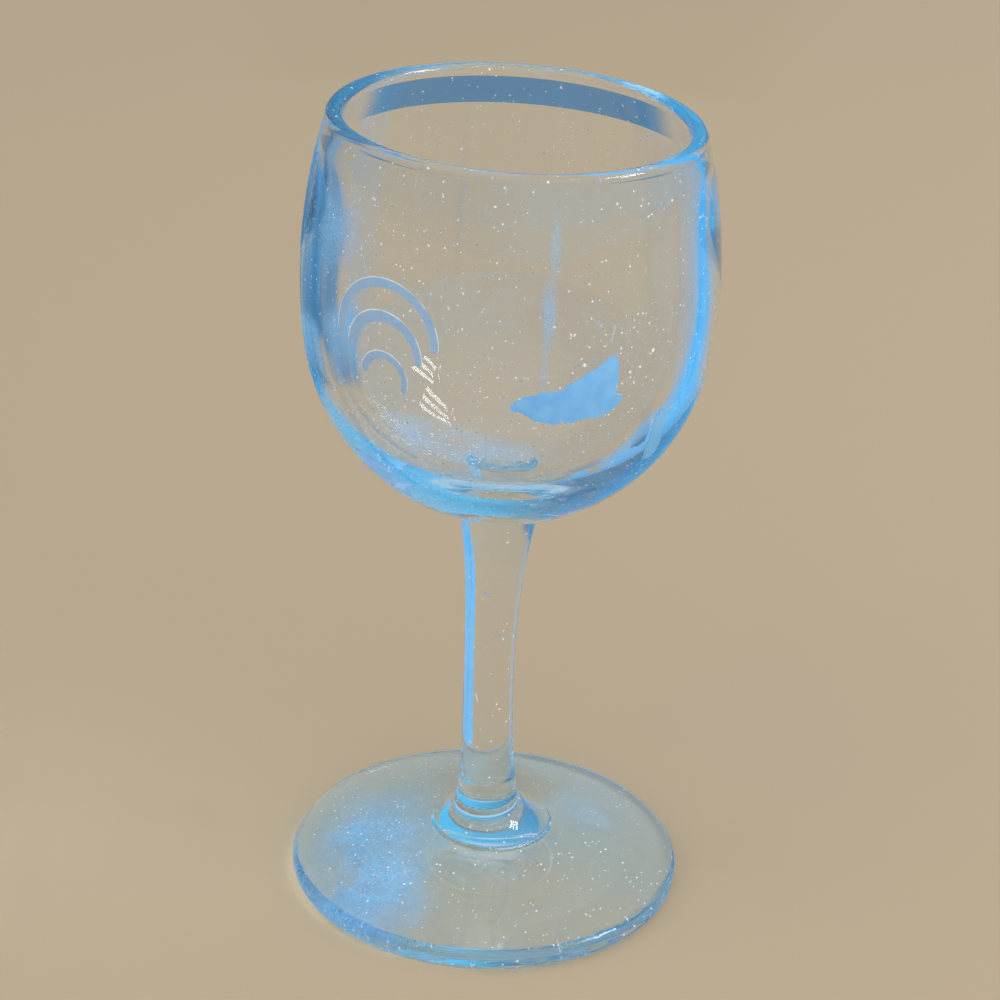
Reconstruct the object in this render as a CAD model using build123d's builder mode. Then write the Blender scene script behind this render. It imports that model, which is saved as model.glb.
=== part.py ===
"""Cordial glass: a clear bowl, a drawn stem and a pressed foot, with a thin fired print."""
import os
from math import cos, degrees, radians, sin

from build123d import *

os.makedirs("parts", exist_ok=True)

# Driving dimensions in millimetres. The glass stands on z = 0 with its axis on Z,
# and -Y is the side that carries the print. Radii are measured from the axis.
total_height = 100.0

# Bowl, outside: lip, belly, haunch and the seat of the stem
lip_outer_radius = 21.5
lip_thickness = 2.1
lip_rounding = 1.0
belly_radius = 24.5
belly_height = 80.0
haunch_turn = 10.0
haunch_arc = 50.0
seat_radius = 5.0
seat_height = 51.3

# Bowl, inside: the wall thickens from the belly to a heavy base
belly_wall = 2.3
cavity_haunch_arc = 48.0
cavity_floor = 56.4

# Stem: radius and height down the waisted outline
neck_radius = 3.45
neck_height = 39.0
waist_radius = 3.15
waist_height = 27.0
ankle_radius = 3.35
ankle_height = 16.0
bell_neck_radius = 3.75
bell_neck_height = 11.5
bell_radius = 7.45
bell_edge = 0.5
bell_rounding = 0.2

# Foot: rounded edge, rising top, hollow underside and resting ring
foot_radius = 24.6
foot_edge_height = 2.75
foot_edge_rounding = 1.3
foot_top_dip = 0.35
foot_seat_height = 6.6
foot_seat_radius = 7.7
hollow_depth = 1.2
hollow_radius = 17.5

# Print: a thin fired skin, drawn on upright planes through the axis. A bearing is the
# angle from -Y towards +X. Arcs taper between two stroke widths, and worn patches are
# closed curves through points counted sideways and up from their own middle.
print_thickness = 0.12
print_shoulder_share = 0.75
print_underside_share = 0.5
print_reach = belly_radius + 5.0
arcs_bearing = -33.5
outer_arc_height = 79.9
outer_arc = {"radius": 6.3, "from_angle": 182, "to_angle": 2, "thick": 1.35, "thin": 0.95}
middle_arc_height = 78.0
middle_arc = {"radius": 4.45, "from_angle": 172, "to_angle": 2, "thick": 1.75, "thin": 0.9}
inner_arc_height = 75.2
inner_arc = {"radius": 2.75, "from_angle": 166, "to_angle": -18, "thick": 1.15, "thin": 0.75}
front_patch_bearing = 17.0
front_patch_height = 76.0
front_patch_upper = [(-6.6, -1.9), (-5.6, -0.9), (-3.4, 0.1), (-1.3, 0.2), (0.2, 1.3), (2.7, 2.5)]
front_patch_right = [(4.7, 4.0), (5.5, 2.8), (5.7, -0.3), (6.1, -1.8)]
front_patch_lower = [(4.4, -3.3), (1.4, -3.5), (-1.7, -4.0), (-4.6, -2.8)]
side_patch_bearing = 50.0
side_patch_height = 68.0
side_patch_outer = [(-1.0, 3.6), (-0.1, 2.7), (0.4, 0.7), (1.0, -1.2), (1.1, -2.8)]
side_patch_inner = [(0.1, -3.8), (-1.3, -2.8), (-1.4, -0.4), (-1.6, 2.2)]

# Points shared by the bowl's outside and the print on it
belly_point = (belly_radius, belly_height)
haunch_point = (
    belly_radius - haunch_arc * (1 - cos(radians(haunch_turn))),
    belly_height - haunch_arc * sin(radians(haunch_turn)),
)

# Bowl: outside from the seat up, over the lip and down the cavity to its flat floor
cavity_radius = belly_radius - belly_wall
cavity_haunch_point = (
    cavity_radius - cavity_haunch_arc * (1 - cos(radians(haunch_turn))),
    belly_height - cavity_haunch_arc * sin(radians(haunch_turn)),
)
cavity_corner_arc = (cavity_haunch_point[1] - cavity_floor) / (1 - sin(radians(haunch_turn)))

with BuildPart() as bowl:
    with BuildSketch(Plane.XZ):
        with BuildLine():
            seat = Line((0, seat_height), (seat_radius, seat_height))
            shoulder = TangentArc(belly_point, (lip_outer_radius, total_height), tangent=(0, 1))
            belly = TangentArc(belly_point, haunch_point, tangent=(0, -1))
            underside = TangentArc(haunch_point, seat @ 1, tangent=belly % 1)
            lip = Line(shoulder @ 1, (lip_outer_radius - lip_thickness, total_height))
            TangentArc((cavity_radius, belly_height), lip @ 1, tangent=(0, 1))
            cavity_belly = TangentArc(
                (cavity_radius, belly_height), cavity_haunch_point, tangent=(0, -1)
            )
            corner = JernArc(cavity_belly @ 1, cavity_belly % 1, cavity_corner_arc, haunch_turn - 90)
            floor = Line(corner @ 1, (0, cavity_floor))
            Line(floor @ 1, seat @ 0)
        make_face()
    revolve(axis=Axis.Z)
    lip_edges = bowl.edges().group_by(Axis.Z)[-1]
    fillet(lip_edges, radius=lip_rounding)

bowl.part.label = "bowl"
export_step(bowl.part, "parts/bowl.step")

# Stem: tangent arcs up and down from the waist, flat where it is fused at each end
with BuildPart() as stem:
    with BuildSketch(Plane.XZ):
        with BuildLine():
            waist = (waist_radius, waist_height)
            calf = TangentArc(waist, (neck_radius, neck_height), tangent=(0, 1))
            top_flare = TangentArc(calf @ 1, (seat_radius, seat_height), tangent=calf % 1)
            shank = TangentArc(waist, (ankle_radius, ankle_height), tangent=(0, -1))
            ankle = TangentArc(shank @ 1, (bell_neck_radius, bell_neck_height), tangent=shank % 1)
            bell_top = (bell_radius, foot_seat_height + bell_edge)
            bell = TangentArc(ankle @ 1, bell_top, tangent=ankle % 1)
            Polyline(
                bell @ 1,
                (bell_radius, foot_seat_height),
                (0, foot_seat_height),
                (0, seat_height),
                top_flare @ 1,
            )
        make_face()
    revolve(axis=Axis.Z)
    bell_band = stem.faces().filter_by(GeomType.CYLINDER)[0]
    fillet(bell_band.edges().filter_by(GeomType.CIRCLE).sort_by(Axis.Z)[-1], radius=bell_rounding)

stem.part.label = "stem"
export_step(stem.part, "parts/stem.step")

# Foot: hollow underside, resting ring, rounded edge and a top that rises to the stem's seat
foot_top_middle = (foot_radius + foot_seat_radius) / 2
with BuildPart() as foot:
    with BuildSketch(Plane.XZ):
        with BuildLine():
            hollow = TangentArc((0, hollow_depth), (hollow_radius, 0), tangent=(1, 0))
            edge = Polyline(hollow @ 1, (foot_radius, 0), (foot_radius, foot_edge_height))
            rise = ThreePointArc(
                edge @ 1,
                (foot_top_middle, (foot_edge_height + foot_seat_height) / 2 - foot_top_dip),
                (foot_seat_radius, foot_seat_height),
            )
            Polyline(rise @ 1, (0, foot_seat_height), hollow @ 0)
        make_face()
    revolve(axis=Axis.Z)
    foot_band = foot.faces().filter_by(GeomType.CYLINDER)[0]
    fillet(foot_band.edges().filter_by(GeomType.CIRCLE), radius=foot_edge_rounding)

foot.part.label = "foot"
export_step(foot.part, "parts/foot.step")

# Skin of print round the bowl, from which the islands of print are cut
print_top = shoulder @ print_shoulder_share
print_bottom = underside @ print_underside_share
with BuildPart() as print_skin:
    with BuildSketch(Plane.XZ):
        with BuildLine():
            back_up = TangentArc(belly_point, print_top, tangent=(0, 1))
            back_belly = TangentArc(belly_point, haunch_point, tangent=(0, -1))
            back_down = TangentArc(haunch_point, print_bottom, tangent=back_belly % 1)
            face_point = (belly_radius + print_thickness, belly_height)
            up_step = (back_up % 1).rotate(Axis.Z, -90) * print_thickness
            haunch_step = (back_belly % 1).rotate(Axis.Z, 90) * print_thickness
            down_step = (back_down % 1).rotate(Axis.Z, 90) * print_thickness
            face_up = TangentArc(face_point, print_top + up_step, tangent=(0, 1))
            face_belly = TangentArc(face_point, back_belly @ 1 + haunch_step, tangent=(0, -1))
            face_down = TangentArc(face_belly @ 1, print_bottom + down_step, tangent=face_belly % 1)
            Line(back_up @ 1, face_up @ 1)
            Line(back_down @ 1, face_down @ 1)
        make_face()
    revolve(axis=Axis.Z)


def bearing_plane(bearing, height):
    """Upright plane through the axis at a height, facing a bearing."""
    turn = radians(bearing)
    return Plane(
        origin=(0, 0, height),
        x_dir=(cos(turn), sin(turn), 0),
        z_dir=(sin(turn), -cos(turn), 0),
    )


def polar_point(distance, angle):
    """Point of a sketch at a distance and an angle from its origin."""
    return (distance * cos(radians(angle)), distance * sin(radians(angle)))


def arc_stroke(radius, from_angle, to_angle, thick, thin):
    """Flat arc stroke that tapers from thick to thin, with a round cap at each end."""
    angles = (from_angle, (from_angle + to_angle) / 2, to_angle)
    half_widths = (thick / 2, (thick + thin) / 4, thin / 2)
    outer = [polar_point(radius + half, angle) for half, angle in zip(half_widths, angles)]
    inner = [polar_point(radius - half, angle) for half, angle in zip(half_widths, angles)]
    start_cap = polar_point(radius, from_angle + degrees(thick / 2 / radius))
    end_cap = polar_point(radius, to_angle - degrees(thin / 2 / radius))
    with BuildSketch(Plane.XY) as stroke:
        with BuildLine():
            ThreePointArc(*outer)
            ThreePointArc(outer[2], end_cap, inner[2])
            ThreePointArc(*reversed(inner))
            ThreePointArc(inner[0], start_cap, outer[0])
        make_face()
    return stroke.sketch


def worn_patch(*points):
    """Flat patch inside a smooth closed curve through the points."""
    with BuildSketch(Plane.XY) as patch:
        with BuildLine():
            Spline(*points, periodic=True)
        make_face()
    return patch.sketch


def fire_print(name, outline, bearing, height):
    """Island of print: an outline carried outwards and kept where it meets the skin."""
    with BuildPart() as island:
        with BuildSketch(bearing_plane(bearing, height)):
            add(outline)
        extrude(amount=print_reach)
        add(print_skin.part, mode=Mode.INTERSECT)
    island.part.label = name
    export_step(island.part, f"parts/{name}.step")


# Nested arcs, from the largest to the smallest
fire_print("enamel_arc_outer", arc_stroke(**outer_arc), arcs_bearing, outer_arc_height)
fire_print("enamel_arc_middle", arc_stroke(**middle_arc), arcs_bearing, middle_arc_height)
fire_print("enamel_arc_inner", arc_stroke(**inner_arc), arcs_bearing, inner_arc_height)

# Worn patches, one in front and a sliver further round
front_patch = worn_patch(*front_patch_upper, *front_patch_right, *front_patch_lower)
fire_print("enamel_patch_front", front_patch, front_patch_bearing, front_patch_height)
side_patch = worn_patch(*side_patch_outer, *side_patch_inner)
fire_print("enamel_patch_side", side_patch, side_patch_bearing, side_patch_height)
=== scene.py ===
"""Cordial glass: a pressed foot, a drawn stem and a rounded bowl of clear glass, with the worn
remains of a fired print. Sizes are written in millimetres and go into the meshes in metres."""
import math

import bpy
import numpy as np
from mathutils import Matrix, Vector


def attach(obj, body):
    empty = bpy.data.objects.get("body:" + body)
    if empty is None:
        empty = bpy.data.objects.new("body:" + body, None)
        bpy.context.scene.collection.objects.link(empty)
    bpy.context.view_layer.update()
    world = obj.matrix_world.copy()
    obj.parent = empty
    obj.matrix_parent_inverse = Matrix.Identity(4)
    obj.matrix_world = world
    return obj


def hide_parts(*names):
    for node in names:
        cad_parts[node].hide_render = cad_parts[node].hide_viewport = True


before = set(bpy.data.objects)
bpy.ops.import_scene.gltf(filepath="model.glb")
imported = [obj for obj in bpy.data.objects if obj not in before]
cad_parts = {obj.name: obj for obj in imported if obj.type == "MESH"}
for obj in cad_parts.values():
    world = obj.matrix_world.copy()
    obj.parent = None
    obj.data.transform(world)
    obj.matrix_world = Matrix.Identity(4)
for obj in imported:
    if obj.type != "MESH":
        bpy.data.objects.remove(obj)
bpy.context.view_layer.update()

# Foot: a pressed disc of clear glass with a rounded edge, hollow underneath so that it stands
# on a ring. Its top rises to a flat seat, where the hot stem was stuck on a little off centre.
foot_radius = 24.6
foot_edge_height = 2.75
foot_edge_rounding = 1.3
foot_top_dip = 0.35
foot_seat_height = 6.6
foot_seat_radius = 7.7
hollow_depth = 1.2
hollow_radius = 17.5
bell_off_centre = 0.75
half_fused_gap = 0.006
millimetre = 0.001
points_around = 288
hollow_points = 24
edge_points = 16
foot_top_points = 48
seat_points = 8
sharp_angle = math.radians(35)
clear_colour = (0.985, 0.995, 1.0, 1.0)
deep_colour = (0.35, 0.8, 0.95, 1.0)
deep_density = 8.0
lamp_tint = (0.92, 0.96, 0.98, 1.0)
# Greasy films are real, but their saturated blue is a painted reflection of blue light.
film_and_blue_sheen_colour = (0.23, 0.58, 0.96, 1.0)
bit_colour = (0.94, 0.95, 0.96, 1.0)
even_film, even_dust = 0.012, 0.03
polish, greasy_dulling = 0.012, 0.25
bit_cover, lint_cover, scratch_cover, most_cover = 0.9, 0.6, 0.3, 0.95
crook, sway = (0.0003, 0.0003, 0.0003), (0.004, 0.004, 0.004)
specks = {"scale": 2300.0, "size": 0.34, "rare": 0.9, "soft": 0.1}
crumbs = {"scale": 800.0, "size": 0.2, "rare": 0.95, "soft": 0.04}
lint = {"scale": 900.0, "size": 0.11, "rare": 0.9, "soft": 0.03}
scratches = {"scale": 800.0, "size": 0.06, "rare": 0.8, "soft": 0.02}


def tangent_arc(start, end, heading, count):
    """Arc that leaves start along heading and reaches end, and its heading there. The chord to a
    point at a share t of the arc turns from the heading by t times the whole chord's turn, and
    its length is the whole chord's times sin(t turn) / sin(turn)."""
    start, chord = np.array(start), np.subtract(end, start)
    ahead = np.array(heading) / np.hypot(*heading)
    left = np.array([-ahead[1], ahead[0]])
    turn = math.atan2(chord @ left, chord @ ahead)
    part = np.linspace(0.0, turn, count)[:, None]
    reach = np.hypot(*chord) * np.sin(part) / math.sin(turn)
    points = start + reach * (np.cos(part) * ahead + np.sin(part) * left)
    return points, math.cos(2 * turn) * ahead + math.sin(2 * turn) * left


def rounded_corner(corner, back, on, radius, count):
    """Arc of a radius in a corner, from the side that lies back to the side that goes on. Its
    centre is on the corner's bisector, and it starts at radius / tan(half angle) from the corner."""
    back, on = np.array(back) / np.hypot(*back), np.array(on) / np.hypot(*on)
    half = math.acos(float(back @ on)) / 2
    middle = (back + on) / np.hypot(*(back + on))
    centre = corner + middle * radius / math.sin(half)
    start = corner + back * radius / math.tan(half) - centre
    end = corner + on * radius / math.tan(half) - centre
    turn = math.atan2(start[0] * end[1] - start[1] * end[0], start @ end)
    part = np.linspace(0.0, turn, count)[:, None]
    return centre + np.cos(part) * start + np.sin(part) * np.array([-start[1], start[0]])


def closed_rings(name, rings, first_pole, last_pole, marks):
    """Closed mesh through rings of points, an array of ring, point and axis in millimetres, shut
    by a fan to a pole at each end. Each mark is a value for the steps from ring to ring, kept on
    the faces. If the signed volume is negative, every face is turned over."""
    points = np.concatenate([[first_pole], rings.reshape(-1, 3), [last_pole]]) * millimetre
    number = 1 + np.arange(rings.shape[0] * rings.shape[1]).reshape(rings.shape[:2])
    beside = np.roll(number, -1, axis=1)
    start = np.stack([0 * number[0], beside[0], number[0]], -1)
    bands = np.stack([number[:-1], beside[:-1], beside[1:], number[1:]], -1).reshape(-1, 4)
    end = np.stack([number[-1], beside[-1], 0 * number[-1] + len(points) - 1], -1)
    triangles = np.concatenate([start, bands[:, :3], bands[:, [0, 2, 3]], end])
    a, b, c = points[triangles].transpose(1, 0, 2)
    if (a * np.cross(b, c)).sum() < 0:
        start, bands, end = start[:, ::-1], bands[:, ::-1], end[:, ::-1]
    mesh = bpy.data.meshes.new(name)
    mesh.from_pydata(points.tolist(), [], start.tolist() + bands.tolist() + end.tolist())
    for mark, steps in marks.items():
        kept = mesh.attributes.new(mark, "FLOAT", "FACE")
        kept.data.foreach_set("value", np.repeat(steps, rings.shape[1]).astype(np.float32))
    mesh.shade_smooth()
    mesh.set_sharp_from_angle(angle=sharp_angle)
    piece = bpy.data.objects.new(name, mesh)
    bpy.context.scene.collection.objects.link(piece)
    return piece


def turned(name, profile, seats, settle):
    """Closed piece turned on the Z axis. A point of the profile goes round as a ring, and its two
    ends stand on the axis. Steps of the profile that lie on a seat's height are marked as seat,
    and settle moves the finished points off the true circle, as handwork does."""
    radius, height = profile.T
    around = np.linspace(0.0, 2 * np.pi, points_around, endpoint=False)
    level = np.repeat(height[:, None], points_around, 1)
    rings = np.stack([radius[:, None] * np.cos(around), radius[:, None] * np.sin(around), level], -1)
    rings = settle(rings)
    on_seat = np.isclose(height[:, None], seats, atol=1e-6).any(1)
    flat = on_seat[:-1] & on_seat[1:]
    return closed_rings(name, rings[1:-1], rings[0, 0], rings[-1, 0], {"seat": flat})


def smooth_step(value, low, high):
    """Share from 0 at low to 1 at high, level at both ends: 3 t squared less 2 t cubed."""
    t = np.clip((value - low) / (high - low), 0.0, 1.0)
    return t * t * (3 - 2 * t)


def foot_profile():
    """Outline of half the foot from the middle of its underside, round the edge, up the dipped
    top, which is a straight rise less a parabola, and over the seat to the axis."""
    seat = foot_seat_height - half_fused_gap
    hollow, _ = tangent_arc((0.0, hollow_depth), (hollow_radius, 0.0), (1.0, 0.0), hollow_points)
    run, rise = foot_seat_radius - foot_radius, seat - foot_edge_height
    steep = (run, rise - 4 * foot_top_dip)
    low_edge, high_edge = np.array([[foot_radius, 0.0], [foot_radius, foot_edge_height]])
    lower = rounded_corner(low_edge, (-1, 0), (0, 1), foot_edge_rounding, edge_points)
    upper = rounded_corner(high_edge, (0, -1), steep, foot_edge_rounding, edge_points)
    start = (upper[-1, 0] - foot_radius) / run
    share = np.linspace(start, 1.0, foot_top_points)[1:]
    climb = foot_edge_height + rise * share - 4 * foot_top_dip * share * (1 - share)
    top = np.column_stack([foot_radius + run * share, climb])
    seat_in = np.linspace(foot_seat_radius, 0.0, seat_points)[1:]
    level = np.column_stack([seat_in, 0 * seat_in + seat])
    return np.concatenate([hollow, lower, upper, top, level])


def foot_settle(rings):
    """The seat's height and all near it lie off centre, by a smooth step up from the edge."""
    aside = bell_off_centre * smooth_step(rings[..., 2], foot_edge_height, foot_seat_height)
    return rings + aside[..., None] * np.array([1.0, 0.0, 0.0])


class Shade:
    """Socket of a shader tree. Sums, differences and products of these add Math nodes."""

    def __init__(self, tree, socket=None):
        self.tree, self.socket = tree, socket

    def node(self, kind, settings, sockets, output=0):
        """New node of a kind, its settings set first, then its sockets given values or links."""
        made = self.tree.nodes.new("ShaderNode" + kind)
        for key, value in settings.items():
            setattr(made, key, value)
        for key, value in sockets.items():
            if isinstance(value, Shade):
                self.tree.links.new(value.socket, made.inputs[key])
            else:
                made.inputs[key].default_value = value
        return Shade(self.tree, made.outputs[output]) if made.outputs else None

    def beside(self, output):
        """Another output of the node that this socket belongs to."""
        return Shade(self.tree, self.socket.node.outputs[output])

    def math(self, operation, first, second):
        return self.node("Math", {"operation": operation}, {0: first, 1: second})

    def rising(self, low, high):
        """Smooth step of this value from 0 at low to 1 at high."""
        ends = {"Value": self, "From Min": low, "From Max": high}
        return self.node("MapRange", {"interpolation_type": "SMOOTHSTEP"}, ends)

    def __add__(self, other):
        return self.math("ADD", self, other)

    def __sub__(self, other):
        return self.math("SUBTRACT", self, other)

    def __rsub__(self, other):
        return self.math("SUBTRACT", other, self)

    def __mul__(self, other):
        return self.math("MULTIPLY", self, other)

    __radd__, __rmul__ = __add__, __mul__


def dusty_glass(name, marks):
    """Clear glass, blue in its depth, with specks, crumbs, lint, scratches and greasy films. The films
    are real, but their saturated blue is a painted reflection of blue light. A mark is a middle and a
    reach along each axis, in metres, and how much film and dust lie there."""
    material = bpy.data.materials.new(name)
    material.use_nodes = True
    tree = material.node_tree
    tree.nodes.clear()
    start = Shade(tree)
    place = start.node("TexCoord", {}, {}, "Object")
    cloud = start.node("TexNoise", {}, {
        "Vector": place, "Scale": 150.0, "Detail": 8.0, "Roughness": 0.65})
    grain = start.node("TexNoise", {}, {"Vector": place, "Scale": 4200.0, "Detail": 2.0})
    greasy, settled = 0.0, even_dust * cloud
    for middle, reach, grease, dustiness in marks:
        apart = start.node("VectorMath", {"operation": "SUBTRACT"}, {0: place, 1: middle})
        apart = start.node("VectorMath", {"operation": "DIVIDE"}, {0: apart, 1: reach})
        apart = start.node("VectorMath", {"operation": "LENGTH"}, {0: apart}, "Value")
        near = 1 - apart.rising(0.0, 1.0)
        greasy = greasy + grease * near
        settled = settled + dustiness * near
    greasy = greasy * cloud.rising(0.25, 0.65)
    film = even_film * cloud + greasy * grain.rising(0.2, 0.7)
    crooked = start.node("VectorMath", {"operation": "MULTIPLY_ADD"}, {
        0: grain.beside("Color"), 1: crook, 2: place})
    bend = start.node("TexNoise", {}, {"Vector": place, "Scale": 120.0, "Detail": 0.0}, "Color")
    bent = start.node("VectorMath", {"operation": "MULTIPLY_ADD"}, {
        0: bend, 1: sway, 2: place})

    def scattered(where, scale, size, rare, soft):
        """Blobs round the middles of random cells, larger where a cell's chance is past rare."""
        cells = start.node("TexVoronoi", {}, {"Vector": where, "Scale": scale}, "Distance")
        chance = start.node("SeparateColor", {}, {"Color": cells.beside("Color")})
        return (size * (chance + settled).rising(rare, rare + 0.1) - cells).rising(-0.02, soft)

    fine, coarse = scattered(crooked, **specks), scattered(crooked, **crumbs)
    threads = start.node("Mapping", {}, {
        "Vector": bent, "Rotation": (0.5, 0.9, 0.3), "Scale": (1.0, 1.0, 0.1)})
    fluff = scattered(threads, **lint)
    lines = start.node("Mapping", {}, {
        "Vector": bent, "Rotation": (1.2, 0.3, 0.8), "Scale": (1.0, 1.0, 0.03)})
    scored = scattered(lines, **scratches)
    bits = start.math("MINIMUM", fine + coarse + fluff + scored, 1.0)
    grime = bit_cover * fine + bit_cover * coarse + lint_cover * fluff + scratch_cover * scored + film
    glass = start.node("BsdfPrincipled", {}, {
        "Base Color": clear_colour, "Roughness": polish + greasy_dulling * greasy,
        "IOR": 1.5, "Transmission Weight": 1.0})
    # Dust bits are white, and the film between them takes the painted blue reflection.
    dust_and_sheen_colour = start.node("Mix", {"data_type": "RGBA"}, {
        0: bits, 6: film_and_blue_sheen_colour, 7: bit_colour}, 2)
    dust_and_sheen = start.node("BsdfPrincipled", {}, {
        "Base Color": dust_and_sheen_colour, "Roughness": 0.9, "Specular IOR Level": 0.2})
    dirty = start.node("MixShader", {}, {
        0: start.math("MINIMUM", grime, most_cover), 1: glass, 2: dust_and_sheen})
    clear = start.node("BsdfTransparent", {}, {"Color": (1.0, 1.0, 1.0, 1.0)})
    seat = start.node("Attribute", {"attribute_name": "seat"}, {}, "Fac")
    fused = start.node("MixShader", {}, {0: seat, 1: dirty, 2: clear})
    lamp_ray = start.node("LightPath", {}, {}, "Is Shadow Ray")
    thinned = start.node("BsdfTransparent", {}, {"Color": lamp_tint})
    lit = start.node("MixShader", {}, {0: lamp_ray, 1: fused, 2: thinned})
    depth = start.node("VolumeAbsorption", {}, {"Color": deep_colour, "Density": deep_density})
    start.node("OutputMaterial", {}, {"Surface": lit, "Volume": depth})
    return material


# Marks of greasy film and dust. The films show the painted blue reflection of the film colour.
foot_marks = [
    ((-0.0140, -0.003, 0.004), (0.011, 0.020, 0.010), 0.8, 0.05),
    ((-0.0140, -0.014, 0.003), (0.011, 0.010, 0.010), 0.8, 0.0),
    ((0.0120, 0.006, 0.005), (0.007, 0.006, 0.010), 0.25, 0.0),
    ((0.0000, 0.000, 0.006), (0.013, 0.013, 0.006), 0.12, 0.06),
]
foot = turned("foot_glass", foot_profile(), [foot_seat_height - half_fused_gap], foot_settle)
foot.data.materials.append(dusty_glass("foot_glass", foot_marks))
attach(foot, "root")
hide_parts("foot")

# Stem: a waisted rod of clear glass drawn by hand, so that it bows a little. It flares at the
# top, where it is fused under the bowl, and ends below in a bell that is stuck on the foot.
neck = (3.45, 39.0)
waist = (3.15, 27.0)
ankle = (3.35, 16.0)
bell_neck = (3.75, 11.5)
bell_radius = 7.45
bell_edge = 0.5
bell_rounding = 0.22
bowl_seat_radius = 5.0
bowl_seat_height = 51.3
stem_bow = -0.48
bow_start = 12.0
bell_fade = 2.6
calf_points = 24
flare_points = 32
heel_points = 16
bell_points = 40
bell_corner_points = 10
least_step = 0.02


def stem_profile():
    """Outline of half the stem from the middle of its lower seat: the bell's short edge, then
    tangent arcs up the bell, ankle, shank, calf and top flare, and over the upper seat."""
    low, high = foot_seat_height + half_fused_gap, bowl_seat_height - half_fused_gap
    calf, on = tangent_arc(waist, neck, (0.0, 1.0), calf_points)
    flare, _ = tangent_arc(neck, (bowl_seat_radius, high), on, flare_points)
    shank, on = tangent_arc(waist, ankle, (0.0, -1.0), calf_points)
    heel, on = tangent_arc(ankle, bell_neck, on, heel_points)
    bell_top = (bell_radius, low + bell_edge)
    bell, on = tangent_arc(bell_neck, bell_top, on, bell_points)
    corner = rounded_corner(np.array(bell_top), (0, -1), -on, bell_rounding, bell_corner_points)
    bell = bell[bell[:, 0] < corner[-1, 0] - least_step]
    seat_out = np.linspace(0.0, bell_radius, seat_points)
    seat_in = np.linspace(bowl_seat_radius, 0.0, seat_points)[1:]
    lower = np.column_stack([seat_out, 0 * seat_out + low])
    upper = np.column_stack([seat_in, 0 * seat_in + high])
    downward = [bell[::-1], heel[-2::-1], shank[-2::-1]]
    return np.concatenate([lower, corner, *downward, calf[1:], flare[1:], upper])


def stem_settle(rings):
    """The bow is half a sine wave up the stem, and the bell's shift fades upwards as a bell curve."""
    height = rings[..., 2]
    share = np.clip((height - bow_start) / (bowl_seat_height - bow_start), 0.0, 1.0)
    bow = stem_bow * np.sin(np.pi * share)
    shift = bell_off_centre * np.exp(-(((height - foot_seat_height) / bell_fade) ** 2))
    return rings + (bow + shift)[..., None] * np.array([1.0, 0.0, 0.0])


stem_seats = [foot_seat_height + half_fused_gap, bowl_seat_height - half_fused_gap]
stem = turned("stem_glass", stem_profile(), stem_seats, stem_settle)
stem_marks = [
    ((-0.003, -0.002, 0.022), (0.004, 0.004, 0.014), 0.12, 0.0),
    ((0.004, -0.004, 0.0085), (0.008, 0.006, 0.004), 0.35, 0.0),
]
stem.data.materials.append(dusty_glass("stem_glass", stem_marks))
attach(stem, "root")
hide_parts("stem")

# Bowl: blown or pressed clear glass with a full belly, a heavy base and a fire-polished lip. It
# is fused on the stem and leans a degree or so, which shows at the lip.
lip_radius = 21.5
lip_height = 100.0
lip_thickness = 2.1
lip_share = 0.952
bead_thinning = 0.35
bead_below = 94.6
bead_spread_up = 2.4
bead_spread_down = 8.0
belly = (24.5, 80.0)
belly_wall = 2.3
haunch_turn = math.radians(10.0)
haunch_arc = 50.0
cavity_haunch_arc = 48.0
cavity_floor = 56.4
lean_start = 52.0
lean_over = 48.0
lean_right = -0.0257
lean_back = 0.0068
shoulder_points = 64
haunch_points = 24
underside_points = 72
corner_points = 64
level_points = 10
lip_points = 26


def bowl_outside():
    """Outside of half the bowl from the seat's edge up to the lip: the underside and the haunch,
    then the shoulder, all tangent arcs from the belly."""
    shoulder, _ = tangent_arc(belly, (lip_radius, lip_height), (0.0, 1.0), shoulder_points)
    haunch = (
        belly[0] - haunch_arc * (1 - math.cos(haunch_turn)),
        belly[1] - haunch_arc * math.sin(haunch_turn),
    )
    side, on = tangent_arc(belly, haunch, (0.0, -1.0), haunch_points)
    seat_edge = (bowl_seat_radius, bowl_seat_height + half_fused_gap)
    base, _ = tangent_arc(haunch, seat_edge, on, underside_points)
    return np.concatenate([base[::-1], side[-2::-1], shoulder[1:]])


def bowl_inside():
    """Inside of half the bowl from the lip down to the axis: tangent arcs, a corner arc that turns
    to level and a flat floor. Under the lip the wall thins by a bell curve, wide below and narrow
    above, which leaves the fire-polished lip as a faint bead."""
    inner = belly[0] - belly_wall
    lip_inside = (lip_radius - lip_thickness, lip_height)
    wall, _ = tangent_arc((inner, belly[1]), lip_inside, (0.0, 1.0), shoulder_points)
    from_bead = wall[:, 1] - bead_below
    spread = np.where(from_bead > 0, bead_spread_up, bead_spread_down)
    thinning = bead_thinning * np.exp(-((from_bead / spread) ** 2))
    wall[:, 0] += thinning * smooth_step(wall[:, 1], belly[1], bead_below)
    haunch = (
        inner - cavity_haunch_arc * (1 - math.cos(haunch_turn)),
        belly[1] - cavity_haunch_arc * math.sin(haunch_turn),
    )
    side, on = tangent_arc((inner, belly[1]), haunch, (0.0, -1.0), haunch_points)
    corner_arc = (haunch[1] - cavity_floor) / (1 - math.sin(haunch_turn))
    floor_radius = haunch[0] - corner_arc * math.cos(haunch_turn)
    corner, _ = tangent_arc(haunch, (floor_radius, cavity_floor), on, corner_points)
    level_in = np.linspace(floor_radius, 0.0, level_points)[1:]
    level = np.column_stack([level_in, 0 * level_in + cavity_floor])
    return np.concatenate([wall[::-1], side[1:], corner[1:], level])


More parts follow.
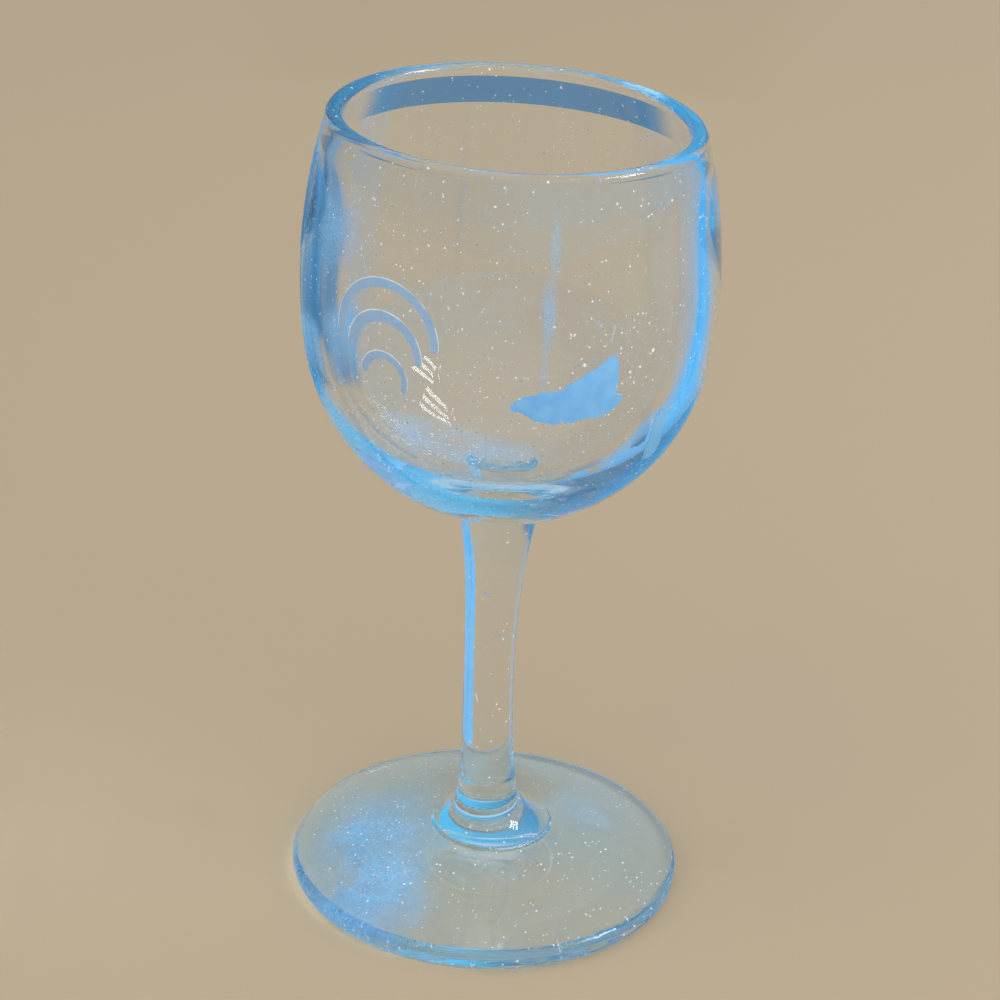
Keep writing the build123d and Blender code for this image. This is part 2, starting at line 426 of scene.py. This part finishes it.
def bowl_profile():
    """Outline of half the bowl from the middle of its seat, up the outside, over a half-round lip
    between the two walls, and down the inside to the axis."""
    outside, inside = bowl_outside(), bowl_inside()
    lip_start = belly[1] + lip_share * (lip_height - belly[1])
    outside, inside = outside[outside[:, 1] < lip_start], inside[inside[:, 1] < lip_start]
    middle, across = (outside[-1] + inside[0]) / 2, (outside[-1] - inside[0]) / 2
    up = np.array([-across[1], across[0]])
    turn = np.linspace(0.0, np.pi, lip_points)[1:-1, None]
    lip = middle + np.cos(turn) * across + np.sin(turn) * up
    seat_out = np.linspace(0.0, bowl_seat_radius, seat_points)[:-1]
    seat = np.column_stack([seat_out, 0 * seat_out + bowl_seat_height + half_fused_gap])
    return np.concatenate([seat, outside, lip, inside])


def bowl_settle(points):
    """The bowl leans: each point drops by its place across, more towards the lip."""
    weight = np.clip((points[..., 2] - lean_start) / lean_over, 0.0, 1.0)
    drop = weight * (lean_right * points[..., 0] + lean_back * points[..., 1])
    return points + drop[..., None] * np.array([0.0, 0.0, 1.0])


bowl = turned("bowl_glass", bowl_profile(), [bowl_seat_height + half_fused_gap], bowl_settle)
# Marks of greasy film and dust. The films show the painted blue reflection of the film colour.
bowl_marks = [
    ((-0.006, 0.000, 0.058), (0.014, 0.010, 0.006), 0.8, 0.2),
    ((-0.0195, -0.0130, 0.0895), (0.005, 0.006, 0.007), 0.8, 0.0),
    ((0.0044, -0.0237, 0.0848), (0.0013, 0.003, 0.0058), 0.9, 0.0),
    ((0.0042, -0.0240, 0.0795), (0.0008, 0.003, 0.005), 0.5, 0.0),
    ((0.0047, -0.0228, 0.0920), (0.0010, 0.003, 0.006), 0.35, 0.0),
    ((0.0130, -0.0200, 0.0790), (0.010, 0.010, 0.013), 0.03, 0.12),
]
bowl.data.materials.append(dusty_glass("bowl_glass", bowl_marks))
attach(bowl, "root")
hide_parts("bowl")

# Nested arcs: three strokes of frosted enamel, printed on the outside of the bowl and fired on.
# Each is thick at its left end and tapers to a rounded tip.
arcs_bearing = -33.5
print_gap = 0.015
print_thickness = 0.06
arcs = {
    "outer": {"height": 79.9, "radius": 6.3, "turns": (182, 2), "widths": (1.35, 0.95)},
    "middle": {"height": 78.0, "radius": 4.45, "turns": (172, 2), "widths": (1.75, 0.9)},
    "inner": {"height": 75.2, "radius": 2.75, "turns": (166, -18), "widths": (1.15, 0.75)},
}
steps_along = 121
steps_across = 24
flat_top = 0.6
tip_thinning = 0.3
enamel_colour = (0.34, 0.53, 0.77, 1.0)
enamel_rim_colour = (0.80, 0.92, 1.0, 1.0)
bowl_line = bowl_outside()


def on_bowl(bearing, aside, height, lift):
    """Points that stand off the bowl's outside by lift. Aside and height are counted in the plane
    that faces the bearing, and a point goes straight out from there to the round of the bowl."""
    radius = np.interp(height, bowl_line[:, 1], bowl_line[:, 0])
    slope = np.interp(height, bowl_line[:, 1], np.gradient(bowl_line[:, 0], bowl_line[:, 1]))
    turn = math.radians(bearing)
    out = np.sqrt(np.maximum(radius**2 - aside**2, 0.0))
    x = aside * math.cos(turn) + out * math.sin(turn)
    y = aside * math.sin(turn) - out * math.cos(turn)
    normal = np.stack([x / radius, y / radius, -slope], -1) / np.sqrt(1 + slope**2)[..., None]
    return bowl_settle(np.stack([x, y, height], -1) + lift[..., None] * normal)


def arc_stroke(name, height, radius, turns, widths):
    """Flat stroke along an arc. Its half width runs evenly from one end to the other, and shrinks
    as a circle does in the round caps. Its section is a superellipse, flat on top."""
    first, last = np.radians(turns)
    length, (start, end) = abs(last - first) * radius, np.array(widths) / 2
    share = (1 - np.cos(np.linspace(0.0, np.pi, steps_along))) / 2
    along = -start + share * (length + start + end)
    half = np.interp(along, [0.0, length], [start, end])
    past = np.maximum(np.maximum(-along, along - length), 0.0)
    half = np.sqrt(np.maximum(half**2 - past**2, 0.0))
    angle = first + (last - first) * along / length
    around = np.linspace(0.0, 2 * np.pi, steps_across, endpoint=False)
    across = np.sign(np.cos(around)) * np.abs(np.cos(around)) ** flat_top
    raised = (1 + np.sign(np.sin(around)) * np.abs(np.sin(around)) ** flat_top) / 2
    reach = radius + half[:, None] * across
    thinned = np.minimum(half / start, 1.0)[:, None] ** tip_thinning
    lift = print_gap + print_thickness * raised * thinned
    aside, above = reach * np.cos(angle)[:, None], reach * np.sin(angle)[:, None]
    points = on_bowl(arcs_bearing, aside, height + above, lift)
    piece = closed_rings(name, points[1:-1], points[0, 0], points[-1, 0], {})
    edge = np.concatenate([[0.0], np.tile(across, len(share) - 2), [0.0]])
    kept = piece.data.attributes.new("edge", "FLOAT", "POINT")
    kept.data.foreach_set("value", edge.astype(np.float32))
    return piece


def frosted_enamel(name):
    """Matt grey-blue enamel, part clear, with a fine grain and a pale rim along its outer edge."""
    material = bpy.data.materials.new(name)
    material.use_nodes = True
    tree = material.node_tree
    tree.nodes.clear()
    start = Shade(tree)
    place = start.node("TexCoord", {}, {}, "Object")
    grain = start.node("TexNoise", {}, {"Vector": place, "Scale": 2600.0, "Detail": 4.0})
    blotch = start.node("TexNoise", {}, {"Vector": place, "Scale": 420.0, "Detail": 3.0})
    edge = start.node("Attribute", {"attribute_name": "edge"}, {}, "Fac")
    outer = edge.rising(0.72, 0.98) * blotch.rising(0.3, 0.55)
    colour = start.node("Mix", {"data_type": "RGBA"}, {
        0: outer + 0.25 * (-1.0 * edge).rising(0.8, 1.0),
        6: enamel_colour, 7: enamel_rim_colour}, 2)
    cover = 0.8 + 0.2 * outer + 0.25 * (grain - 0.5) + 0.4 * (blotch - 0.5)
    enamel = start.node("BsdfPrincipled", {}, {
        "Base Color": colour, "Roughness": 0.55 + 0.2 * grain, "Alpha": cover.rising(0.0, 1.0)})
    start.node("OutputMaterial", {}, {"Surface": enamel})
    return material


arc_enamel = frosted_enamel("frosted_enamel")
for arc_name, arc in arcs.items():
    stroke = arc_stroke("arc_" + arc_name, **arc)
    stroke.data.materials.append(arc_enamel)
    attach(stroke, "root")
    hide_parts("enamel_arc_" + arc_name)

# Worn patches: what is left of two larger fields of pale blue enamel, fired on the outside of the
# bowl. Their edges have flaked to a ragged line.
# The saturated blue of both tones is painted sky light on a pale print. The side patch is painted lighter
# still, to stand in for light that falls short there.
patch_tones_painted_light = {
    "front": ((0.17, 0.50, 0.97, 1.0), (0.23, 0.58, 1.0, 1.0)),
    "side": ((0.18, 0.54, 1.0, 1.0), (0.25, 0.62, 1.0, 1.0)),
}
patches = {
    "front": {
        "bearing": 17.0, "height": 76.0,
        "points": [
            (-6.6, -1.9), (-5.6, -0.9), (-3.4, 0.1), (-1.3, 0.2), (0.2, 1.3), (2.7, 2.5),
            (4.7, 4.0), (5.5, 2.8), (5.7, -0.3), (6.1, -1.8),
            (4.4, -3.3), (1.4, -3.5), (-1.7, -4.0), (-4.6, -2.8)],
    },
    "side": {
        "bearing": 50.0, "height": 68.0,
        "points": [
            (-1.0, 3.6), (-0.1, 2.7), (0.4, 0.7), (1.0, -1.2), (1.1, -2.8),
            (0.1, -3.8), (-1.3, -2.8), (-1.4, -0.4), (-1.6, 2.2)],
    },
}
ragged = 0.26
ragged_within = 2.0
ragged_waves = np.array([7, 11, 17, 25, 36, 52, 75])
ragged_falloff = -0.4
outline_steps = 360
shrink_steps = 30
smallest_ring = 0.03


def worn_patch(name, bearing, height, points):
    """Flat patch: rings that shrink from a closed curve through the points to their middle, on the
    face and again on the back. The curve is a Catmull-Rom spline, and waves of random phase, weaker
    as they get quicker, push it in and out along the spokes to a ragged line."""
    corners = np.array(points) @ np.array([1.0, 1.0j])
    share = np.linspace(0.0, 1.0, outline_steps, endpoint=False)
    step = np.floor(share * len(corners)).astype(int)
    t = share * len(corners) - step
    before, here, after, beyond = (corners[(step + s) % len(corners)] for s in (-1, 0, 1, 2))
    square = (2 * before - 5 * here + 4 * after - beyond) * t**2
    cube = (3 * here - before - 3 * after + beyond) * t**3
    curve = 0.5 * (2 * here + (after - before) * t + square + cube)
    phase = np.random.default_rng(len(corners)).uniform(0.0, 2 * np.pi, len(ragged_waves))
    strength = ragged_waves**ragged_falloff
    waves = np.sin(2 * np.pi * np.outer(share, ragged_waves) + phase) @ strength
    middle = curve.mean()
    spoke = curve - middle
    depth = ragged * np.minimum(np.abs(spoke) / ragged_within, 1.0)
    curve = curve + depth * waves * spoke / np.abs(spoke)
    grow = np.linspace(smallest_ring, 1.0, shrink_steps)
    shrink = np.concatenate([grow, grow[::-1]])
    lift = np.repeat([print_gap + print_thickness, print_gap], shrink_steps)
    flat = middle + shrink[:, None] * (curve - middle)
    rings = on_bowl(bearing, flat.real, height + flat.imag, lift[:, None] + 0 * flat.real)
    centre = np.full(2, middle.real), height + np.full(2, middle.imag)
    poles = on_bowl(bearing, *centre, np.array([print_gap + print_thickness, print_gap]))
    piece = closed_rings(name, rings, poles[0], poles[1], {})
    edge = np.concatenate([[0.0], np.repeat(shrink, outline_steps), [0.0]])
    kept = piece.data.attributes.new("edge", "FLOAT", "POINT")
    kept.data.foreach_set("value", edge.astype(np.float32))
    return piece


def worn_enamel_painted_light(name, tones):
    """Matt pale blue enamel with a cloudy tone, pinholes, and flakes lost along its edge. Its tones
    are a saturated painted blue, standing in for sky light on the pale print.
    """
    material = bpy.data.materials.new(name)
    material.use_nodes = True
    tree = material.node_tree
    tree.nodes.clear()
    start = Shade(tree)
    place = start.node("TexCoord", {}, {}, "Object")
    cloud = start.node("TexNoise", {}, {"Vector": place, "Scale": 500.0, "Detail": 6.0})
    flake = start.node("TexNoise", {}, {"Vector": place, "Scale": 1500.0, "Detail": 4.0})
    edge = start.node("Attribute", {"attribute_name": "edge"}, {}, "Fac")
    colour = start.node("Mix", {"data_type": "RGBA"}, {
        0: cloud.rising(0.3, 0.7), 6: tones[0], 7: tones[1]}, 2)
    held = (flake - 0.2 * edge.rising(0.9, 1.0)).rising(0.14, 0.22)
    enamel = start.node("BsdfPrincipled", {}, {
        "Base Color": colour, "Roughness": 0.5 + 0.2 * cloud, "Alpha": held})
    start.node("OutputMaterial", {}, {"Surface": enamel})
    return material


for patch_name, patch in patches.items():
    island = worn_patch("patch_" + patch_name, **patch)
    island.data.materials.append(worn_enamel_painted_light("worn_enamel_painted_light_" + patch_name, patch_tones_painted_light[patch_name]))
    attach(island, "root")
    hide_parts("enamel_patch_" + patch_name)

# Studio: a plain pale table top a hair below the glass, a soft lamp of three tubes on the right and
# an even surround with a pale backdrop. Clear glass shows only what lies round it, so blue cards
# stand where its edges look, for the glass alone.
floor_half = 4.0
floor_level = -0.0001
floor_colour = (0.52, 0.41, 0.27, 1.0)
floor_roughness = 0.8
light_front = (1.25, 1.25, 1.27, 1.0)
light_back = (0.32, 0.33, 0.35, 1.0)
surround_low = (0.20, 0.22, 0.24, 1.0)
surround_left = (0.07, 0.19, 0.34, 1.0)
surround_right = (0.09, 0.58, 0.94, 1.0)
surround_top = (0.60, 0.70, 0.80, 1.0)
backdrop_colour = (0.56, 0.58, 0.59, 1.0)
backdrop_share = 0.75
lamp_at = (0.80, -0.05, 0.86)
lamp_aim = (0.0, 0.0, 0.06)
lamp_colour = (1.0, 0.98, 0.95)
lamp_power = 3.6
tube_size = (0.06, 0.32)
tube_places = (-0.12, 0.0, 0.12)

floor_mesh = bpy.data.meshes.new("floor")
floor_square = floor_half * np.array([(-1, -1), (1, -1), (1, 1), (-1, 1)])
floor_corners = [(x, y, floor_level) for x, y in floor_square.tolist()]
floor_mesh.from_pydata(floor_corners, [], [(0, 1, 2, 3)])
floor = bpy.data.objects.new("floor", floor_mesh)
bpy.context.scene.collection.objects.link(floor)
floor_paint = bpy.data.materials.new("floor")
floor_paint.use_nodes = True
floor_bsdf = floor_paint.node_tree.nodes["Principled BSDF"]
floor_bsdf.inputs["Base Color"].default_value = floor_colour
floor_bsdf.inputs["Roughness"].default_value = floor_roughness
floor_mesh.materials.append(floor_paint)

card_turns = 361
card_steps = 33
card_bend = 2.5
card_blues = {
    "right": ((0.17, 0.55, 0.97, 1.0), (0.06, 0.46, 0.95, 1.0)),
    "right_wall": ((0.17, 0.55, 0.97, 1.0), (0.14, 0.52, 0.96, 1.0)),
    "right_near": ((0.05, 0.17, 0.31, 1.0), (0.06, 0.20, 0.36, 1.0)),
    "front_left": ((0.14, 0.36, 0.64, 1.0), (0.18, 0.46, 0.78, 1.0)),
    "left": ((0.05, 0.17, 0.32, 1.0), (0.07, 0.20, 0.36, 1.0)),
    "left_back": ((0.06, 0.20, 0.38, 1.0), (0.17, 0.42, 0.70, 1.0)),
    "left_low": ((0.06, 0.20, 0.38, 1.0), (0.17, 0.42, 0.70, 1.0)),
    "back": ((0.09, 0.21, 0.35, 1.0), (0.08, 0.19, 0.33, 1.0)),
}
cards = {
    "right": {
        "reach": (0.026, 0.21), "rise": (0.001, 0.151), "ends": (0.06, 0.11, 2, 3), "change": (0.3, 0.55),
        "near_turns": (16, 24, 60, 66), "far_turns": (8, 18, 45, 51)},
    "right_wall": {
        "reach": (0.0285, 0.0285), "rise": (0.0003, 0.0145), "ends": (-1, 0, 0.8, 1), "change": (0.0, 1.0),
        "near_turns": (16, 24, 62, 68), "far_turns": (16, 24, 62, 68)},
    "right_near": {
        "reach": (0.026, 0.042), "rise": (0.001, 0.002), "ends": (-1, 0, 0.7, 1), "change": (0.0, 1.0),
        "near_turns": (0, 5, 16, 24), "far_turns": (0, 5, 16, 24)},
    "front_left": {
        "reach": (0.034, 0.21), "rise": (0.001, 0.151), "ends": (-1, 0, 2, 3), "change": (0.40, 0.54),
        "near_turns": (192, 198, 232, 240), "far_turns": (192, 198, 232, 240)},
    "left": {
        "reach": (0.034, 0.21), "rise": (0.001, 0.151), "ends": (-1, 0, 2, 3), "change": (0.40, 0.54),
        "near_turns": (162, 165, 168, 173), "far_turns": (130, 136, 166, 172)},
    "left_back": {
        "reach": (0.12, 0.12), "rise": (0.022, 0.087), "ends": (0, 0.16, 2, 3), "change": (0.5, 0.62),
        "near_turns": (115, 117.5, 146, 152), "far_turns": (115, 117.5, 126, 131)},
    "left_low": {
        "reach": (0.06, 0.06), "rise": (0.034, 0.058), "ends": (0, 0.3, 0.8, 1), "change": (0.0, 1.0),
        "near_turns": (117, 120, 150, 156), "far_turns": (117, 120, 150, 156)},
    "back": {
        "reach": (0.36, 0.70), "rise": (0.001, 0.016), "ends": (-1, 0, 2, 3), "change": (0.0, 1.0),
        "near_turns": (78, 82, 98, 102), "far_turns": (78, 82, 98, 102)},
}


def bent_card(name, reach, rise, ends, change, near_turns, far_turns):
    """Card bent round the Z axis, level at its near end and rising outwards as a power of its
    share, or straight up if it has no depth. It glows between two bearings, fading in and out,
    and these move over the change."""
    turn = np.linspace(0.0, 360.0, card_turns)
    share = np.linspace(0.0, 1.0, card_steps)[:, None]
    out = reach[0] + (reach[1] - reach[0]) * share
    climb = share**card_bend if reach[1] > reach[0] else share
    up = rise[0] + (rise[1] - rise[0]) * climb + 0 * turn
    around = np.radians(turn)
    points = np.stack([out * np.cos(around), out * np.sin(around), up], -1)
    number = np.arange(up.size).reshape(up.shape)
    faces = np.stack([number[:-1, :-1], number[:-1, 1:], number[1:, 1:], number[1:, :-1]], -1)
    move = smooth_step(share, *change)
    fade = [near + move * (far - near) for near, far in zip(near_turns, far_turns)]
    turned_by = (turn + 90.0) % 360.0 - 90.0
    glow = smooth_step(turned_by, fade[0], fade[1]) * (1 - smooth_step(turned_by, fade[2], fade[3]))
    glow = glow * smooth_step(share, *ends[:2]) * (1 - smooth_step(share, *ends[2:]))
    mesh = bpy.data.meshes.new(name)
    mesh.from_pydata(points.reshape(-1, 3).tolist(), [], faces.reshape(-1, 4).tolist())
    for mark, value in (("glow", glow), ("share", share + 0 * turn)):
        kept = mesh.attributes.new(mark, "FLOAT", "POINT")
        kept.data.foreach_set("value", value.astype(np.float32).ravel())
    card = bpy.data.objects.new(name, mesh)
    bpy.context.scene.collection.objects.link(card)
    card.visible_camera = card.visible_diffuse = card.visible_shadow = False
    return card


def card_paint(name, near_blue, far_blue):
    """Paint that glows by itself in two cloudy blues, and is clear where the card has no glow."""
    material = bpy.data.materials.new(name)
    material.use_nodes = True
    tree = material.node_tree
    tree.nodes.clear()
    start = Shade(tree)
    place = start.node("TexCoord", {}, {}, "Object")
    upright = start.node("Mapping", {}, {"Vector": place, "Scale": (1.0, 1.0, 0.1)})
    cloud = start.node("TexNoise", {}, {"Vector": upright, "Scale": 150.0, "Detail": 2.0})
    share = start.node("Attribute", {"attribute_name": "share"}, {}, "Fac")
    blue = start.node("Mix", {"data_type": "RGBA"}, {
        0: (share + 1.6 * (cloud - 0.5)).rising(0.1, 0.9), 6: near_blue, 7: far_blue}, 2)
    shine = start.node("Emission", {}, {"Color": blue, "Strength": 1.0})
    bare = start.node("BsdfTransparent", {}, {})
    glow = start.node("Attribute", {"attribute_name": "glow"}, {}, "Fac")
    start.node("OutputMaterial", {}, {
        "Surface": start.node("MixShader", {}, {0: glow, 1: bare, 2: shine})})
    return material


for card_name, card in cards.items():
    stand = bent_card("card_" + card_name, **card)
    stand.data.materials.append(card_paint("card_" + card_name, *card_blues[card_name]))

world = bpy.data.worlds.new("surround")
bpy.context.scene.world = world
world.use_nodes = True
world.node_tree.nodes.clear()
surround = Shade(world.node_tree)
by_camera = surround.node("LightPath", {}, {}, "Is Camera Ray")
seen = by_camera + by_camera.beside("Is Glossy Ray") + by_camera.beside("Is Transmission Ray")
toward = surround.node("TexCoord", {}, {}, "Generated")
aside = surround.node("SeparateXYZ", {}, {"Vector": toward})
height, ahead = aside.beside("Z"), aside.beside("Y")
lighting = surround.node("Mix", {"data_type": "RGBA"}, {
    0: ahead.rising(-0.6, 0.6), 6: light_front, 7: light_back}, 2)
even = surround.node("Background", {}, {"Color": lighting, "Strength": 1.0})
tones = surround.node("Mix", {"data_type": "RGBA"}, {
    0: aside.rising(-0.6, 0.4), 6: surround_left, 7: surround_right}, 2)
level = (1 - height.rising(0.06, 0.2)) * ahead.rising(0.6, 0.85)
tones = surround.node("Mix", {"data_type": "RGBA"}, {0: level, 6: tones, 7: surround_low}, 2)
tones = surround.node("Mix", {"data_type": "RGBA"}, {
    0: height.rising(0.55, 0.8), 6: tones, 7: surround_top}, 2)
tones = surround.node("Mix", {"data_type": "RGBA"}, {
    0: backdrop_share * by_camera, 6: tones, 7: backdrop_colour}, 2)
pale = surround.node("Background", {}, {"Color": tones, "Strength": 1.0})
mixed = surround.node("MixShader", {}, {0: seen, 1: even, 2: pale})
surround.node("OutputWorld", {}, {"Surface": mixed})

lamp_turn = (Vector(lamp_aim) - Vector(lamp_at)).to_track_quat("-Z", "Y").to_matrix().to_4x4()
for number, place in enumerate(tube_places):
    tube = bpy.data.lights.new("tube_%d" % number, "AREA")
    tube.shape, tube.energy, tube.color = "RECTANGLE", lamp_power / len(tube_places), lamp_colour
    tube.size, tube.size_y = tube_size
    lamp = bpy.data.objects.new(tube.name, tube)
    lamp.matrix_world = Matrix.Translation(lamp_at) @ lamp_turn @ Matrix.Translation((place, 0.0, 0.0))
    lamp.visible_camera = False
    bpy.context.scene.collection.objects.link(lamp)

# Camera: in front of the glass and above it, tipped a little to the left. Light that is caught in
# the glass is mirrored many times before it comes out, so many bounces are followed.
camera_back = 0.289256
camera_height = 0.186351
camera_pitch = 0.4357
camera_roll = 0.0456
focal_pixels = 2638.53
picture_pixels = 1000
bounces = 48
clear_layers = 16
lens = bpy.data.cameras.new("camera")
lens.sensor_width = 36.0
lens.lens = focal_pixels / picture_pixels * lens.sensor_width
lens.clip_start = 0.01
camera = bpy.data.objects.new("camera", lens)
tilt = Matrix.Rotation(math.pi / 2 - camera_pitch, 4, "X") @ Matrix.Rotation(camera_roll, 4, "Z")
camera.matrix_world = Matrix.Translation((0.0, -camera_back, camera_height)) @ tilt
bpy.context.scene.collection.objects.link(camera)
bpy.context.scene.camera = camera
bpy.context.scene.view_settings.view_transform = "Standard"

bpy.context.scene.cycles.max_bounces = bounces
bpy.context.scene.cycles.glossy_bounces = bounces
bpy.context.scene.cycles.transmission_bounces = bounces
bpy.context.scene.cycles.transparent_max_bounces = clear_layers

bpy.context.view_layer.update()
